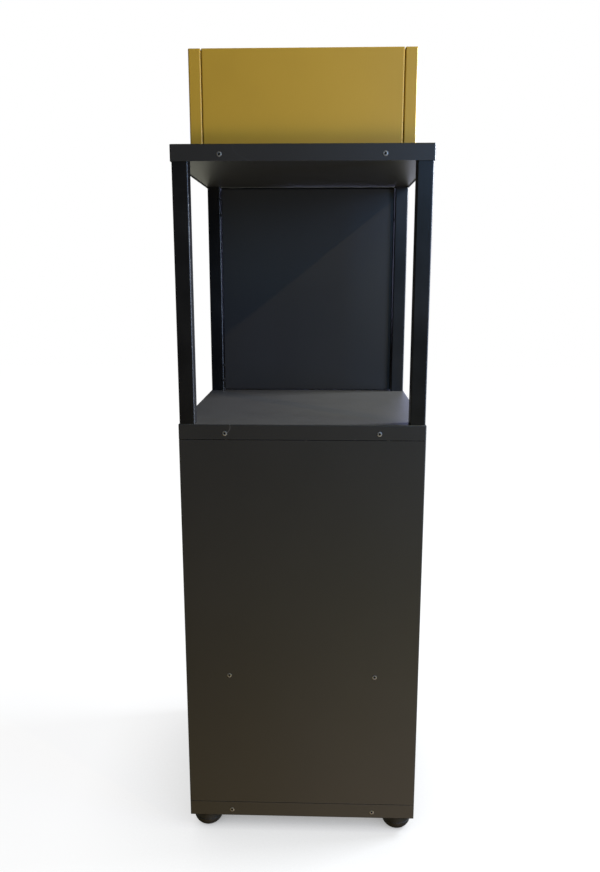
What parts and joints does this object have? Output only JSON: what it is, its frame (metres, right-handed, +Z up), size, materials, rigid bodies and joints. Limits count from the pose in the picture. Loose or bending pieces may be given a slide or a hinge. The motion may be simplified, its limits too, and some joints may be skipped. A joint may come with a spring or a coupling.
{
  "type": "newspaper stand",
  "caption": "Free-standing sheet-steel newspaper stand: closed cabinet with a rear service door, open display bay between square posts, and a header box on top.",
  "frame": {"origin": "on the floor, under the middle of the stand", "axes": "+Z up, -Y towards the front of the display bay, +X to the right of someone who faces the front"},
  "size_m": [0.4018, 0.4018, 1.3164],
  "materials": {
    "panel_paint": "satin dark grey powder coat",
    "frame_paint": "satin black powder coat",
    "header_paint": "satin mustard yellow powder coat",
    "zinc_steel": "zinc-plated",
    "rivet_aluminium": "plain, dulled",
    "foot_rubber": "matt black",
    "nylon": "natural nylon",
    "lock_chrome": "polished"
  },
  "bodies": {
    "stand": {"base_tray": "panel_paint", "display_shelf": "panel_paint", "top_shelf": "panel_paint", "top_shelf_underpan": "panel_paint", "front_panel": "panel_paint", "left_side_panel": "panel_paint", "right_side_panel": "panel_paint", "storage_shelf": "panel_paint", "bay_back_panel": "panel_paint", "front_left_post": "frame_paint", "front_right_post": "frame_paint", "rear_left_post": "frame_paint", "rear_right_post": "frame_paint", "base_front_rail": "frame_paint", "base_rear_rail": "frame_paint", "base_left_rail": "frame_paint", "base_right_rail": "frame_paint", "mid_front_rail": "frame_paint", "mid_rear_rail": "frame_paint", "mid_left_rail": "frame_paint", "mid_right_rail": "frame_paint", "top_front_rail": "frame_paint", "top_rear_rail": "frame_paint", "top_left_rail": "frame_paint", "top_right_rail": "frame_paint", "header_left_side": "header_paint", "header_right_side": "header_paint", "header_front_panel": "header_paint", "header_rear_panel": "header_paint", "header_top_panel": "header_paint", "foot_plates": "zinc_steel", "header_bolts": "zinc_steel", "header_nuts": "zinc_steel", "foot_washers": "zinc_steel", "foot_screws": "zinc_steel", "door_pivot_pins": "zinc_steel", "lock_keeper": "zinc_steel", "header_joint_rivets": "rivet_aluminium", "header_top_rivets": "rivet_aluminium", "band_rivets": "rivet_aluminium", "storage_shelf_rivets": "rivet_aluminium", "back_panel_rivets": "rivet_aluminium", "keeper_rivets": "rivet_aluminium", "front_left_foot": "foot_rubber", "front_right_foot": "foot_rubber", "rear_left_foot": "foot_rubber", "rear_right_foot": "foot_rubber"},
    "door": {"door_panel": "panel_paint", "door_pivot_bushes": "nylon", "lock_housing": "lock_chrome", "lock_nut": "zinc_steel"},
    "lock_core": {"lock_plug": "lock_chrome", "lock_cam": "zinc_steel", "lock_cam_screw": "zinc_steel"}
  },
  "joints": [
    {"name": "door_hinge", "type": "hinge", "parent": "stand", "child": "door", "pos_m": [0.1532, 0.192, 0.3895], "axis": [0, 0, -1], "range_deg": [0, 110]},
    {"name": "lock_turn", "type": "hinge", "parent": "door", "child": "lock_core", "pos_m": [-0.1442, 0.2, 0.47], "axis": [0, -1, 0], "range_deg": [0, 90]}
  ]
}
